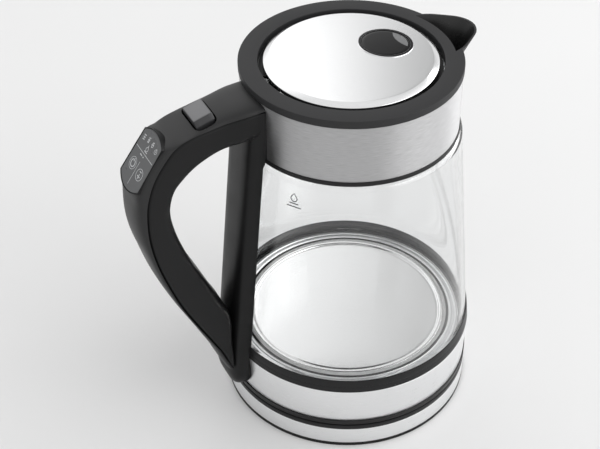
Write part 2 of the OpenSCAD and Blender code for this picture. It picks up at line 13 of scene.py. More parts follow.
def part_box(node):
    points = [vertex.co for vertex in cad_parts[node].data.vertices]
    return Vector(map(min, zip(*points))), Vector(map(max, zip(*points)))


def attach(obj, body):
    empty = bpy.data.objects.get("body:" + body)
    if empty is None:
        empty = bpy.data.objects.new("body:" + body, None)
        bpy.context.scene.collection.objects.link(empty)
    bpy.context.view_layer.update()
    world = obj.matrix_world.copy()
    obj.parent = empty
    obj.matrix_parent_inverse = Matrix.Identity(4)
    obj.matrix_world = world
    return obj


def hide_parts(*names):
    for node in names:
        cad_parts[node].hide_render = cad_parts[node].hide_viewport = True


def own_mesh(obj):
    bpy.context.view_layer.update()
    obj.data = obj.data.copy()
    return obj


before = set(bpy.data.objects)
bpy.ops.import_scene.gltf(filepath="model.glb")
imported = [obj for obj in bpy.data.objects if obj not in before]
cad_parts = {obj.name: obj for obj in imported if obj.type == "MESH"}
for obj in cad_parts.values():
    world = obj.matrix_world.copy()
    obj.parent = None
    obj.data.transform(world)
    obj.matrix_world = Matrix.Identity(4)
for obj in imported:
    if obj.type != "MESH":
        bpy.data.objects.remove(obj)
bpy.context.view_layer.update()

MM = 0.001
TURNS = 256
SHARP = math.radians(32)


# ---- Sizes taken from the frame ----

def low(node):
    """Lowest corner of a CAD node, in millimetres."""
    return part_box(node)[0] / MM


def high(node):
    """Highest corner of a CAD node, in millimetres."""
    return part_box(node)[1] / MM


def levels(node):
    """Lowest and highest height of a CAD node."""
    return low(node).z, high(node).z


def middle(node):
    """Middle of a CAD node's box."""
    return tuple((a + b) / 2 for a, b in zip(low(node), high(node)))


BODY_R = high("jug_bottom_cover").x
BASE_TOP = high("base_shell").z
GLASS_FOOT_R = high("glass_body").x
GLASS_TOP_R = 64.9
COLLAR_TOP = high("collar").z
RING_R = -low("collar").x
SPOUT_REACH = high("collar").x
NECK_BAND_R = high("upper_steel_band").y
LID_R = -low("lid_cap").x
LID_TOP = high("lid_cap").z
LENS_AT_X = middle("lid_lens")[0]
LENS_R = (high("lid_lens").y - low("lid_lens").y) / 2
GRIP_HALF = high("handle_shell").y
LINER_HALF = high("handle_liner").y


# ---- Mesh helpers ----

def add_piece(name, mesh, sharp=SHARP):
    """Object from a bmesh in metres, shaded smooth."""
    bmesh.ops.remove_doubles(mesh, verts=mesh.verts, dist=1e-7)
    bmesh.ops.recalc_face_normals(mesh, faces=mesh.faces)
    data = bpy.data.meshes.new(name)
    mesh.to_mesh(data)
    mesh.free()
    piece = bpy.data.objects.new(name, data)
    bpy.context.scene.collection.objects.link(piece)
    shade(piece, sharp)
    return piece


def shade(piece, sharp=SHARP):
    """Shades a piece smooth, except at edges over the given angle."""
    piece.data.polygons.foreach_set("use_smooth", [True] * len(piece.data.polygons))
    piece.data.set_sharp_from_angle(angle=sharp)


def rounded(corners, steps=4):
    """Closed outline through corners (x, y, radius), each eased into an arc of about that radius."""
    most = 0.48
    points = []
    for i, (x, y, radius) in enumerate(corners):
        here = Vector((x, y))
        back = Vector(corners[i - 1][:2]) - here
        ahead = Vector(corners[(i + 1) % len(corners)][:2]) - here
        reach = min(radius, most * back.length, most * ahead.length)
        if reach <= 0:
            points.append(here)
            continue
        start = here + back.normalized() * reach
        end = here + ahead.normalized() * reach
        for k in range(steps + 1):
            t = k / steps
            points.append(start * (1 - t) ** 2 + here * (2 * t * (1 - t)) + end * t * t)
    return points


def lathe_into(mesh, outline, turns):
    """Adds the solid that a closed outline of (radius, height) sweeps about Z."""
    rings = []
    for r, z in outline:
        count = 1 if r < 1e-6 else turns
        angles = [2 * math.pi * k / count for k in range(count)]
        rings.append([mesh.verts.new((r * MM * math.cos(a), r * MM * math.sin(a), z * MM)) for a in angles])
    for a, b in zip(rings, rings[1:] + rings[:1]):
        if len(a) == 1 and len(b) == 1:
            continue
        for k in range(turns):
            n = k + 1
            corners = [a[k % len(a)], a[n % len(a)], b[n % len(b)], b[k % len(b)]]
            mesh.faces.new(list(dict.fromkeys(corners)))


def lathe(name, outline, turns=TURNS):
    """Piece that a closed outline of (radius, height) sweeps about Z."""
    mesh = bmesh.new()
    lathe_into(mesh, outline, turns)
    return add_piece(name, mesh)


def loft_into(mesh, sections, closed=False):
    """Adds a skin through sections with as many points each, capped unless it closes on itself."""
    loops = [[mesh.verts.new(Vector(p) * MM) for p in section] for section in sections]
    pairs = list(zip(loops, loops[1:]))
    if closed:
        pairs.append((loops[-1], loops[0]))
    for a, b in pairs:
        for k in range(len(a)):
            n = (k + 1) % len(a)
            mesh.faces.new([a[k], a[n], b[n], b[k]])
    if not closed:
        mesh.faces.new(loops[0])
        mesh.faces.new(loops[-1])


def loft(name, sections, sharp=SHARP):
    """Piece with a skin through closed sections, capped at both ends."""
    mesh = bmesh.new()
    loft_into(mesh, sections)
    return add_piece(name, mesh, sharp)


def smooth_line(points, per_span):
    """Points on the Catmull-Rom curve through the given ones."""
    points = [Vector(p) for p in points]
    line = []
    for i in range(len(points) - 1):
        p0 = points[max(i - 1, 0)]
        p1, p2 = points[i], points[i + 1]
        p3 = points[min(i + 2, len(points) - 1)]
        for k in range(per_span):
            t = k / per_span
            line.append(0.5 * (
                2 * p1 + (p2 - p0) * t + (2 * p0 - 5 * p1 + 4 * p2 - p3) * t * t
                + (3 * p1 - p0 - 3 * p2 + p3) * t ** 3
            ))
    line.append(points[-1])
    return line


def ribbon_into(mesh, path, width, z0, z1, closed=False):
    """Adds a flat ribbon of rectangular section along a path in the XY plane."""
    path = [Vector(p) for p in path]
    sections = []
    for i, p in enumerate(path):
        before = path[i - 1] if closed or i else p
        after = path[(i + 1) % len(path)] if closed or i + 1 < len(path) else p
        along = (after - before).normalized()
        side = Vector((-along.y, along.x)) * (width / 2)
        left, right = p + side, p - side
        sections.append([(*left, z0), (*right, z0), (*right, z1), (*left, z1)])
    loft_into(mesh, sections, closed)


def arc(cx, cy, r, start, end, steps):
    """Points on an arc from one angle to another, in degrees."""
    angles = [math.radians(start + (end - start) * k / steps) for k in range(steps + 1)]
    return [Vector((cx + r * math.cos(a), cy + r * math.sin(a))) for a in angles]


def circle(cx, cy, r, steps):
    """Points round a circle."""
    return arc(cx, cy, r, 0, 360, steps)[:-1]


def combine(piece, tool, operation):
    """Joins or cuts a piece with a tool, which is then removed."""
    step = piece.modifiers.new("combine", "BOOLEAN")
    step.operation = operation
    step.solver = "EXACT"
    step.object = tool
    bpy.context.view_layer.update()
    graph = bpy.context.evaluated_depsgraph_get()
    data = bpy.data.meshes.new_from_object(piece.evaluated_get(graph))
    piece.modifiers.clear()
    piece.data = data
    bpy.data.objects.remove(tool)
    shade(piece)


def carve(piece, tool):
    """Cuts a tool out of a piece."""
    combine(piece, tool, "DIFFERENCE")


def soften(piece, width, segments=2, angle=35):
    """Bevels the edges of a piece that are sharper than an angle in degrees."""
    step = piece.modifiers.new("soft_edges", "BEVEL")
    step.width = width * MM
    step.segments = segments
    step.limit_method = "ANGLE"
    step.angle_limit = math.radians(angle)
    step.harden_normals = True


def prism(name, outline, z0, z1, place):
    """Straight prism over a closed outline, in a frame of its own, in millimetres."""
    mesh = bmesh.new()
    loft_into(mesh, [[place @ Vector((*p, z)) for p in outline] for z in (z0, z1)])
    return add_piece(name, mesh)


def paint(piece, *materials):
    """Lists a piece's materials. Faces that already chose one of several keep their choice."""
    chosen = [min(face.material_index, len(materials) - 1) for face in piece.data.polygons]
    piece.data.materials.clear()
    for material in materials:
        piece.data.materials.append(material)
    piece.data.polygons.foreach_set("material_index", chosen)


def dress(piece, body, slot, *materials, replaces=None):
    """Gives a piece its materials and its body, and hides the CAD node it stands for. The slot is not used.
    """
    paint(piece, *materials)
    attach(piece, body)
    if replaces:
        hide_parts(replaces)


# ---- Materials ----

# Nearly all values of a noise texture lie between these two
NOISE_LOW = 0.3
NOISE_HIGH = 0.7


def node_material(name, colour, roughness, metallic=0.0):
    """Material with a Principled shader; returns it with its node tree and shader."""
    material = bpy.data.materials.new(name)
    material.use_nodes = True
    tree = material.node_tree
    shader = tree.nodes["Principled BSDF"]
    shader.inputs["Base Color"].default_value = (*colour, 1)
    shader.inputs["Roughness"].default_value = roughness
    shader.inputs["Metallic"].default_value = metallic
    return material, tree, shader


def object_coords(tree):
    """Texture coordinates in the piece's own frame."""
    return tree.nodes.new("ShaderNodeTexCoord").outputs["Object"]


def noise(tree, coords, scale, detail=3.0):
    """Noise texture of a given density."""
    node = tree.nodes.new("ShaderNodeTexNoise")
    node.inputs["Scale"].default_value = scale
    node.inputs["Detail"].default_value = detail
    tree.links.new(coords, node.inputs["Vector"])
    return node.outputs["Fac"]


def maths(tree, operation, a, b):
    """Result of an operation on two values, each a socket or a float."""
    node = tree.nodes.new("ShaderNodeMath")
    node.operation = operation
    for socket, value in zip(node.inputs, (a, b)):
        if isinstance(value, float):
            socket.default_value = value
        else:
            tree.links.new(value, socket)
    return node.outputs["Value"]


def map_range(tree, source, start, end, first, last, interpolation="LINEAR"):
    """Value that runs from first to last while the source runs from start to end."""
    node = tree.nodes.new("ShaderNodeMapRange")
    node.interpolation_type = interpolation
    limits = {"From Min": start, "From Max": end, "To Min": first, "To Max": last}
    for socket, value in limits.items():
        node.inputs[socket].default_value = value
    tree.links.new(source, node.inputs["Value"])
    return node.outputs["Result"]


def vary_colour(tree, shader, factor, colour, amount):
    """Lets the base colour run between a darker and a lighter tone."""
    ramp = tree.nodes.new("ShaderNodeValToRGB")
    ramp.color_ramp.elements[0].position = NOISE_LOW
    ramp.color_ramp.elements[1].position = NOISE_HIGH
    ramp.color_ramp.elements[0].color = (*[c * (1 - amount) for c in colour], 1)
    ramp.color_ramp.elements[1].color = (*[min(1, c * (1 + amount)) for c in colour], 1)
    tree.links.new(factor, ramp.inputs["Fac"])
    tree.links.new(ramp.outputs["Color"], shader.inputs["Base Color"])


def vary_roughness(tree, shader, factor, least, most):
    """Lets the roughness run between two values."""
    spread = map_range(tree, factor, NOISE_LOW, NOISE_HIGH, least, most)
    tree.links.new(spread, shader.inputs["Roughness"])


def add_bump(tree, shader, height, strength, depth):
    """Fine relief, with its depth in millimetres."""
    bump = tree.nodes.new("ShaderNodeBump")
    bump.inputs["Strength"].default_value = strength
    bump.inputs["Distance"].default_value = depth * MM
    tree.links.new(height, bump.inputs["Height"])
    tree.links.new(bump.outputs["Normal"], shader.inputs["Normal"])


def moulded(name, colour, roughness, grain=1400.0, relief=0.12, mottle=0.05, gloss=0.5):
    """Moulded plastic or rubber: a fine eroded grain, faint mottling and uneven gloss."""
    material, tree, shader = node_material(name, colour, roughness)
    shader.inputs["Specular IOR Level"].default_value = gloss
    coords = object_coords(tree)
    fine = noise(tree, coords, grain, 2.0)
    broad = noise(tree, coords, 45.0)
    vary_colour(tree, shader, broad, colour, mottle)
    vary_roughness(tree, shader, broad, roughness - 0.04, roughness + 0.04)
    add_bump(tree, shader, fine, relief, 0.05)
    return material


def cylinder_coords(tree, around, along):
    """Coordinates that run round Z and along it, each with its own density."""
    split = tree.nodes.new("ShaderNodeSeparateXYZ")
    tree.links.new(object_coords(tree), split.inputs["Vector"])
    angle = maths(tree, "ARCTAN2", split.outputs["Y"], split.outputs["X"])
    joined = tree.nodes.new("ShaderNodeCombineXYZ")
    for source, density, socket in ((angle, around, "X"), (split.outputs["Z"], along, "Z")):
        tree.links.new(maths(tree, "MULTIPLY", source, density), joined.inputs[socket])
    return joined.outputs["Vector"]


def brushed(name, colour, roughness, contrast, relief, around=9.0, along=2400.0, anisotropy=0.55):
    """Steel brushed round the body: long fine strokes in tone, gloss and relief."""
    material, tree, shader = node_material(name, colour, roughness, 1.0)
    strokes = noise(tree, cylinder_coords(tree, around, along), 1.0, 4.0)
    vary_colour(tree, shader, strokes, colour, contrast)
    vary_roughness(tree, shader, strokes, roughness - 0.06, roughness + 0.06)
    add_bump(tree, shader, strokes, relief, 0.02)
    shader.inputs["Anisotropic"].default_value = anisotropy
    shader.inputs["Anisotropic Rotation"].default_value = 0.25
    tangent = tree.nodes.new("ShaderNodeTangent")
    tangent.direction_type = "RADIAL"
    tangent.axis = "Z"
    tree.links.new(tangent.outputs["Tangent"], shader.inputs["Tangent"])
    return material


def satin_metal(name, colour, roughness, grain=1800.0, relief=0.06, mottle=0.01):
    """Blasted or plated metal with a very fine even texture."""
    material, tree, shader = node_material(name, colour, roughness, 1.0)
    coords = object_coords(tree)
    vary_colour(tree, shader, noise(tree, coords, 500.0), colour, mottle)
    vary_roughness(tree, shader, noise(tree, coords, 700.0), roughness - 0.015, roughness + 0.015)
    add_bump(tree, shader, noise(tree, coords, grain, 2.0), relief, 0.02)
    return material


def clear_glass():
    """Borosilicate glass with the faintest cool tint and a slight waviness."""
    tint = (0.95, 0.955, 0.956)
    material, tree, shader = node_material("clear_glass", tint, 0.0)
    coords = object_coords(tree)
    vary_colour(tree, shader, noise(tree, coords, 20.0), tint, 0.004)
    add_bump(tree, shader, noise(tree, coords, 12.0, 1.0), 0.02, 0.2)
    shader.inputs["Transmission Weight"].default_value = 1.0
    shader.inputs["IOR"].default_value = 1.47
    return material


def smoked_lens():
    """Glossy dark window with a soft inner haze."""
    colour = (0.008, 0.008, 0.0085)
    material, tree, shader = node_material("smoked_lens", colour, 0.08)
    coords = object_coords(tree)
    vary_colour(tree, shader, noise(tree, coords, 90.0), colour, 0.1)
    vary_roughness(tree, shader, noise(tree, coords, 300.0), 0.05, 0.11)
    shader.inputs["Specular IOR Level"].default_value = 0.18
    return material


BLACK = moulded("satin_black_plastic", (0.007, 0.007, 0.0073), 0.4, gloss=0.2)
COVER_BLACK = moulded("soft_black_plastic", (0.012, 0.012, 0.0125), 0.42, gloss=0.36)
COLLAR_GREY = moulded("collar_plastic", (0.024, 0.024, 0.025), 0.52, relief=0.16, gloss=0.25)
RING_BLACK = moulded("foot_ring_plastic", (0.01, 0.01, 0.0105), 0.34, gloss=0.25)
PANEL_GREY = moulded("touch_panel_face", (0.1, 0.102, 0.105), 0.3, relief=0.04, gloss=0.4)
PRINT = moulded("panel_print", (0.54, 0.55, 0.56), 0.5, relief=0.05)
RUBBER = moulded("foot_rubber", (0.02, 0.02, 0.021), 0.72, grain=900.0, relief=0.3, gloss=0.3)
SEAL_BLACK = moulded("lid_seal_rubber", (0.01, 0.01, 0.01), 0.5, relief=0.2, gloss=0.3)
SILICONE = moulded("pale_silicone", (0.84, 0.84, 0.84), 0.4, relief=0.1)
SEAL_CUP = satin_metal("seal_cup_steel", (0.86, 0.865, 0.87), 0.3, mottle=0.05)
WHITE_PLASTIC = moulded("pale_plastic", (0.72, 0.71, 0.67), 0.45)
BOARD = moulded("board_green", (0.03, 0.14, 0.05), 0.4, relief=0.1, mottle=0.15)
RESIN = moulded("brown_resin", (0.3, 0.12, 0.03), 0.45, mottle=0.12)
UPPER_STEEL = brushed("brushed_steel", (0.5, 0.5, 0.505), 0.46, 0.14, 0.25, 10.0, 3000.0, 0.9)
BAND_STEEL = brushed("satin_steel_band", (0.84, 0.845, 0.85), 0.32, 0.025, 0.05)
LID_STEEL = satin_metal("satin_lid_steel", (0.88, 0.885, 0.89), 0.24)
EDGE_STEEL = satin_metal("polished_lid_edge", (0.84, 0.845, 0.85), 0.16)
PLATE_STEEL = satin_metal("plate_steel", (0.9, 0.9, 0.9), 0.2)
BUTTON_METAL = satin_metal("button_metal_paint", (0.165, 0.165, 0.169), 0.36, relief=0.1)
# Dark material for the button's sloping sides: painted shade
BUTTON_FLANK_PAINTED_SHADE = moulded("button_flank_painted_shade", (0.03, 0.03, 0.032), 0.4, gloss=0.4)
# Paler grey of the painted reflection on the lid's window
WINDOW_PAINTED_REFLECTION = moulded("painted_window_reflection", (0.16, 0.162, 0.165), 0.25, mottle=0.12, gloss=0.4)
# Darker black inside the spout's channel: painted shade
THROAT_PAINTED_SHADE = moulded("spout_throat_painted_shade", (0.008, 0.008, 0.008), 0.28, relief=0.06, gloss=0.5)
TRIM = satin_metal("trim_chrome", (0.78, 0.78, 0.79), 0.15)
ZINC = satin_metal("zinc_plated_steel", (0.55, 0.56, 0.57), 0.32, mottle=0.08)
# Steel darkened to painted shade, for the hinge pin and lid spring in the gap round the lid
PAINTED_SHADE_STEEL = satin_metal("steel_darkened_as_painted_shade", (0.06, 0.06, 0.062), 0.4)
BRASS = satin_metal("contact_brass", (0.75, 0.55, 0.25), 0.28, mottle=0.08)
ALUMINIUM = satin_metal("cast_aluminium", (0.68, 0.69, 0.7), 0.42, grain=700.0, relief=0.2)
GLASS = clear_glass()
LENS = smoked_lens()

# Finish of the CAD nodes that stay as they are
CAD_FINISH = {
    "base_bottom_cover": BLACK, "base_screws": ZINC, "connector_tower": BLACK,
    "connector_contacts": BRASS, "shutter_spring": ZINC, "cord_gland": BLACK, "cord_clamp": BLACK,
    "connector_shutter": WHITE_PLASTIC, "jug_bottom_screws": ZINC, "jug_connector": WHITE_PLASTIC,
    "jug_contact_pins": BRASS, "lower_housing": BLACK, "heat_spreader": ALUMINIUM,
    "heating_element": ALUMINIUM, "thermal_cutouts": RESIN, "temperature_sensor": ZINC,
    "control_board": BOARD, "neck_gasket": SILICONE, "upper_steel_band": UPPER_STEEL,
    # hinge_pin and lid_spring take the darkened steel as painted shade
    "spout_filter": ZINC, "hinge_pin": PAINTED_SHADE_STEEL, "handle_bracket": ZINC, "handle_screws": ZINC,
    "handle_ribbon": SILICONE, "panel_board": BOARD, "latch_slider": BLACK, "lid_base": BLACK,
    "lid_inner_cover": BLACK, "lid_seal": SEAL_BLACK, "lid_spring": PAINTED_SHADE_STEEL,
    "jug_bottom_cover": RING_BLACK,
}
# Those of them whose edges are bevelled
EDGED_NODES = (
    "base_bottom_cover", "connector_tower", "cord_gland", "jug_connector", "lid_base",
    "lid_inner_cover", "latch_slider", "jug_bottom_cover",
)


def finish_cad_nodes():
    """Gives the CAD nodes that stay as they are their materials and bevels."""
    for node, material in CAD_FINISH.items():
        paint(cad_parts[node], material)
    for node in EDGED_NODES:
        soften(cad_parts[node], 0.2)


# ---- Power base ----

def base_shell():
    """Black deck of the base with its rim and the wall behind the steel band."""
    z0 = low("base_shell").z
    wall_r = high("base_steel_band").x - 0.7
    rim_z = high("base_steel_band").z
    hub_r = 16.2
    skirt_r = 75
    deck_t = 2.2
    piece = lathe("base_deck", rounded([
        (hub_r, BASE_TOP - deck_t, 0), (skirt_r, BASE_TOP - deck_t, 0.4), (skirt_r, z0, 0),
        (wall_r, z0, 0), (wall_r, rim_z, 0), (BODY_R, rim_z, 0.25), (BODY_R, BASE_TOP, 0.8),
        (hub_r, BASE_TOP, 0.6),
    ]), turns=192)
    dress(piece, "power_base", "black_plastic", RING_BLACK, replaces="base_shell")


def steel_band(name, node, body, taper=0.0):
    """Rolled steel band with turned-in edges, as tall as its CAD node, narrower at its foot by a taper."""
    z0, z1 = levels(node)
    r1 = high(node).x
    r0 = r1 - taper
    sheet = 0.6
    piece = lathe(name, rounded([
        (r0 - sheet, z0, 0.1), (r0, z0, 0.25), (r1, z1, 0.25), (r1 - sheet, z1, 0.1),
    ], 3))
    dress(piece, body, "steel_satin", BAND_STEEL, replaces=node)


def base_feet():
    """Four rubber feet, each a round pad with a shallow groove in its tread."""
    mesh = bmesh.new()
    z0, z1 = levels("base_feet")
    pad_r = 6.0
    reach = 66.0
    groove_z = z0 + 0.25
    outline = rounded([
        (0, z0, 0), (3.2, z0, 0), (3.4, groove_z, 0), (4.2, groove_z, 0), (4.4, z0, 0),
        (pad_r, z0, 0.4), (pad_r, z1, 0.1), (0, z1, 0),
    ])
    for k in range(4):
        part = bmesh.new()
        lathe_into(part, outline, turns=48)
        turn = math.radians(45 + 90 * k)
        at = Vector((reach * math.cos(turn), reach * math.sin(turn), 0)) * MM
        bmesh.ops.translate(part, vec=at, verts=part.verts)
        data = bpy.data.meshes.new("foot")
        part.to_mesh(data)
        part.free()
        mesh.from_mesh(data)
    dress(add_piece("rubber_feet", mesh), "power_base", "rubber_black", RUBBER, replaces="base_feet")


# ---- Jug ----

def foot_ring():
    """Black ring that holds the foot of the glass, with a fine line round its middle."""
    z0, z1 = levels("glass_foot_ring")
    seat_r = 73.8
    seat_z = 49.8
    top_r = BODY_R - 1
    glass_r = GLASS_FOOT_R + 0.1
    line_z = z0 + 0.42 * (z1 - z0)
    line_r = BODY_R - 0.42
    piece = lathe("glass_foot_ring_cover", rounded([
        (seat_r, z0, 0), (BODY_R, z0, 0.3), (line_r, line_z, 0.05), (line_r - 0.25, line_z + 0.2, 0.05),
        (line_r, line_z + 0.4, 0.05), (top_r, z1, 0.5), (glass_r, z1, 0.15), (glass_r, seat_z, 0),
        (seat_r, seat_z, 0),
    ]))
    dress(piece, "jug", "black_plastic", RING_BLACK, replaces="glass_foot_ring")


def glass_jug():
    """Glass wall: a slow taper, a tight shoulder and a straight neck behind the steel band."""
    z0, z1 = levels("glass_body")
    wall = 2.6
    foot_z = z0 + 6.3
    shoulder_z = 188.6
    neck_r = 61.2
    round_r = 3.9
    inner_round_r = 2.3
    inner_foot_r = GLASS_FOOT_R - wall
    narrowing = GLASS_TOP_R - GLASS_FOOT_R
    inner_rise = shoulder_z - 1 - foot_z
    shares = [k / 12 for k in range(1, 12)]
    outer = [(GLASS_FOOT_R, z0 + 0.4), (GLASS_FOOT_R, foot_z)]
    outer += [(GLASS_FOOT_R + narrowing * t, foot_z + (shoulder_z - foot_z) * t) for t in shares]
    outer += [tuple(p) for p in arc(GLASS_TOP_R - round_r, shoulder_z, round_r, 0, 84, 12)]
    outer += [(neck_r + 0.02, shoulder_z + round_r + 0.5), (neck_r, z1)]
    inner = [(neck_r - wall, z1), (neck_r - wall, shoulder_z + 1.4)]
    inner_round = arc(GLASS_TOP_R - wall - inner_round_r, shoulder_z - 0.9, inner_round_r, 0, 80, 8)
    inner += [tuple(p) for p in reversed(inner_round)]
    inner += [(inner_foot_r + narrowing * t, foot_z + inner_rise * t) for t in reversed(shares)]
    inner += [(inner_foot_r, foot_z), (inner_foot_r, z0 + 0.3), (inner_foot_r + 0.4, z0)]
    outline = [Vector(p) for p in outer + inner + [(GLASS_FOOT_R - 0.4, z0)]]
    piece = lathe("glass_jug", outline)
    shade(piece, math.radians(60))
    dress(piece, "jug", "glass", GLASS, replaces="glass_body")


def plate():
    """Heating plate with its rolled rim and the groove inside it."""
    z0, z1 = levels("heating_plate")
    r = high("heating_plate").x
    face_z = z1 - 0.8
    piece = lathe("heating_plate_face", rounded([
        (0, z0, 0), (r, z0, 0.2), (r, z1 - 0.1, 0.5), (r - 0.8, z1, 0.6), (r - 2, z1, 0.7),
        (r - 2.9, face_z - 0.3, 0.6), (r - 4.2, face_z, 0.8), (0, face_z, 0),
    ]))
    dress(piece, "jug", "steel_satin", PLATE_STEEL, replaces="heating_plate")


def gasket():
    """Seal between plate and glass: pale bead, steel cup with two ribs, and a lip; a flat ring beside the
    bead and the lip are dark rubber, which is painted shade.
    """
    z0, z1 = levels("plate_gasket")
    glass_r = high("plate_gasket").x
    inner_r = high("heating_plate").x + 0.1
    seat_r = 73.6
    lip_r = 71.9
    face_z = z1 - 0.9
    bead_r = inner_r + 0.9
    painted_shade_r = bead_r + 1.1
    cup_r = bead_r + 2.8
    ribs = []
    for r in (70.6, 67.2):
        ribs += [(r + 0.8, face_z, 0.15), (r + 0.5, face_z + 0.4, 0.2), (r - 0.5, face_z + 0.4, 0.2),
                 (r - 0.8, face_z, 0.15), (r - 0.95, face_z - 0.25, 0.1), (r - 1.25, face_z, 0.1)]
    piece = lathe("plate_seal", rounded([
        (inner_r, z0, 0), (seat_r, z0, 0), (seat_r, z1 - 0.4, 0), (glass_r, z1 - 0.4, 0), (glass_r, z1, 0),
        (lip_r + 1, z1, 0.5), (lip_r + 0.1, face_z + 0.1, 0.4), *ribs, (bead_r + 1, face_z, 0.3),
        (bead_r, z1 - 0.5, 0.5), (inner_r, z1 - 0.7, 0.3),
    ]))
    # Dark rubber on the flat ring beside the bead and on the lip is painted shade
    for face in piece.data.polygons:
        r = face.center.to_2d().length / MM
        if painted_shade_r < r < cup_r or r > lip_r:
            face.material_index = 1
        elif r > painted_shade_r:
            face.material_index = 2
    dress(piece, "jug", "silicone_grey", SILICONE, RUBBER, SEAL_CUP, replaces="plate_gasket")


def neck_ring():
    """Black ring under the upper steel band."""
    z0, z1 = levels("neck_ring")
    r = high("neck_ring").x
    piece = lathe("neck_trim_ring", rounded([
        (r - 2.1, z0, 0), (r - 0.2, z0, 0.4), (r, z0 + 0.7, 0.4), (r, z1 - 0.5, 0.4), (r - 0.3, z1, 0.2),
        (r - 2.1, z1, 0),
    ]))
    dress(piece, "jug", "black_plastic", RING_BLACK, replaces="neck_ring")


def fill_mark():
    """Small printed level mark on the near side of the glass: a drop over two short lines."""
    mesh = bmesh.new()
    z_mid = 179.0
    turn = math.radians(-146)
    taper_z = 56.5
    slope = 0.084
    gap = 0.06
    ink = 0.05
    for half, y in ((4.4, -3.8), (2.8, -1.7)):
        ribbon_into(mesh, [(-half, y), (half, y)], 0.7, 0, ink)
    drop = arc(0, 1.6, 1.9, -220, 40, 20) + [Vector((0, 5))]
    ribbon_into(mesh, drop, 0.6, 0, ink, True)
    glass_r = GLASS_FOOT_R - slope * (z_mid - taper_z)
    for v in mesh.verts:
        x, y, lift = v.co / MM
        a = turn + x / glass_r
        r = glass_r + gap + lift - slope * y
        v.co = Vector((r * math.cos(a), r * math.sin(a), z_mid + y)) * MM
    dress(add_piece("fill_mark", mesh), "jug", "panel_grey", PANEL_GREY)


# ---- Collar and spout ----

# Half plan of the spout's rim at the top, from its root on the ring to the tip
SPOUT_PLAN = [(54, 23.4), (58.8, 21.9), (63.6, 19.6), (68.2, 16.3), (72.4, 13.1), (75.6, 10.3), (78, 7),
              (79.5, 3.4), (80, 0)]
SPOUT_ROOT, SPOUT_HALF = SPOUT_PLAN[0]
SPOUT_WALL = 1.3


def spout_solid(name, inset, z_top):
    """Beak that narrows downwards from its rim to a rounded foot on the steel band."""
    stretch = (SPOUT_REACH - inset - SPOUT_ROOT) / (SPOUT_PLAN[-1][0] - SPOUT_ROOT)
    narrow = 1 - inset / SPOUT_HALF
    half = smooth_line([(SPOUT_ROOT + (x - SPOUT_ROOT) * stretch, y * narrow) for x, y in SPOUT_PLAN], 4)
    plan = half + [Vector((p.x, -p.y)) for p in reversed(half[:-1])]
    foot_z = 206 + inset * 1.8
    foot_width = 0.34
    foot_reach = 0.28
    ring_x = 56
    rows = 20
    sections = []
    for k in range(rows + 1):
        s = k / rows
        z = foot_z + (COLLAR_TOP - foot_z) * s
        rounding = min(1, math.sqrt((s + 0.012) / 0.16))
        width = (foot_width + (1 - foot_width) * s ** 0.9) * rounding
        reach = foot_reach + (1 - foot_reach) * s ** 0.92
        sections.append([(p.x + min(0, ring_x - p.x) * (1 - reach), p.y * width, z) for p in plan])
    if z_top > COLLAR_TOP:
        sections.append([(x, y, z_top) for x, y, _ in sections[-1]])
    return loft(name, sections)


def lug(y0, y1):
    """One of the two arms that carry the lid's hinge pin."""
    at_x, _, at_z = middle("hinge_pin")
    eye_r = 1.9
    arm = rounded([
        (-1.3, -1.2, 0.6), (1.2, 0.9, 0.6), (5.4, -6.7, 2), (3.5, -12.5, 1.5), (-15, -16.5, 0),
        (-15, -10.7, 0), (0.9, -7, 1), (1.1, -4, 1),
    ])
    mesh = bmesh.new()
    loft_into(mesh, [[(at_x + p.x, y, at_z + p.y) for p in arm] for y in (y0, y1)])
    eye = circle(at_x, at_z, eye_r, 32)
    loft_into(mesh, [[(p.x, y, p.y) for p in eye] for y in (y0, y1)])
    return add_piece("lug", mesh)


def throat():
    """Tool that cuts the spout's channel, lines it with a darker black that is painted shade, and leaves
    the ring's upper edge whole.
    """
    tool = spout_solid("throat", SPOUT_WALL, COLLAR_TOP + 1)
    paint(tool, COLLAR_GREY, THROAT_PAINTED_SHADE)
    dam_r = 58.8
    dam_z0, dam_z1 = 226, 250
    carve(tool, lathe("dam", [(0, dam_z0), (dam_r, dam_z0), (dam_r, dam_z1), (0, dam_z1)]))
    # Every face of the channel takes the painted shade
    tool.data.polygons.foreach_set("material_index", [1] * len(tool.data.polygons))
    return tool


def latch_slot(x0, x1):
    """Tool for the slot that the latch bar slides through."""
    half, z0, z1 = 3.6, 218.2, 222.2
    plan = [(x0, -half), (x1, -half), (x1, half), (x0, half)]
    return prism("latch_slot", plan, z0, z1, Matrix())


def collar():
    """Dark ring round the lid, with the spout in one piece and the sleeve that goes down into the neck."""
    mouth_r = 52.2
    mouth_z = 228.6
    ring_z = 230.3
    sleeve_r = 61.9
    skirt_r = 61.3
    bore_r = 57.6
    bore_z0, bore_z1 = 207, 224
    lug_y0, lug_y1 = 6.4, 9.4
    z0 = low("collar").z
    piece = lathe("collar_ring", rounded([
        (mouth_r, COLLAR_TOP, 0.5), (RING_R, COLLAR_TOP, 0.5), (RING_R, ring_z + 0.4, 0.4),
        (NECK_BAND_R - 0.1, ring_z, 0.2), (sleeve_r, ring_z, 0), (sleeve_r, z0, 0.2), (skirt_r, z0, 0),
        (skirt_r, bore_z0, 0), (bore_r, bore_z0, 0.4), (bore_r, bore_z1, 1), (mouth_r, mouth_z, 0.6),
    ]))
    # The second material is the painted shade inside the spout
    paint(piece, COLLAR_GREY, THROAT_PAINTED_SHADE)
    combine(piece, spout_solid("beak", 0, COLLAR_TOP), "UNION")
    carve(piece, throat())
    carve(piece, latch_slot(-66, -50))
    for side in (-1, 1):
        combine(piece, lug(*sorted((side * lug_y0, side * lug_y1))), "UNION")
    soften(piece, 0.3, 2, 40)
    dress(piece, "jug", "collar_plastic", COLLAR_GREY, THROAT_PAINTED_SHADE, replaces="collar")


# ---- Handle ----

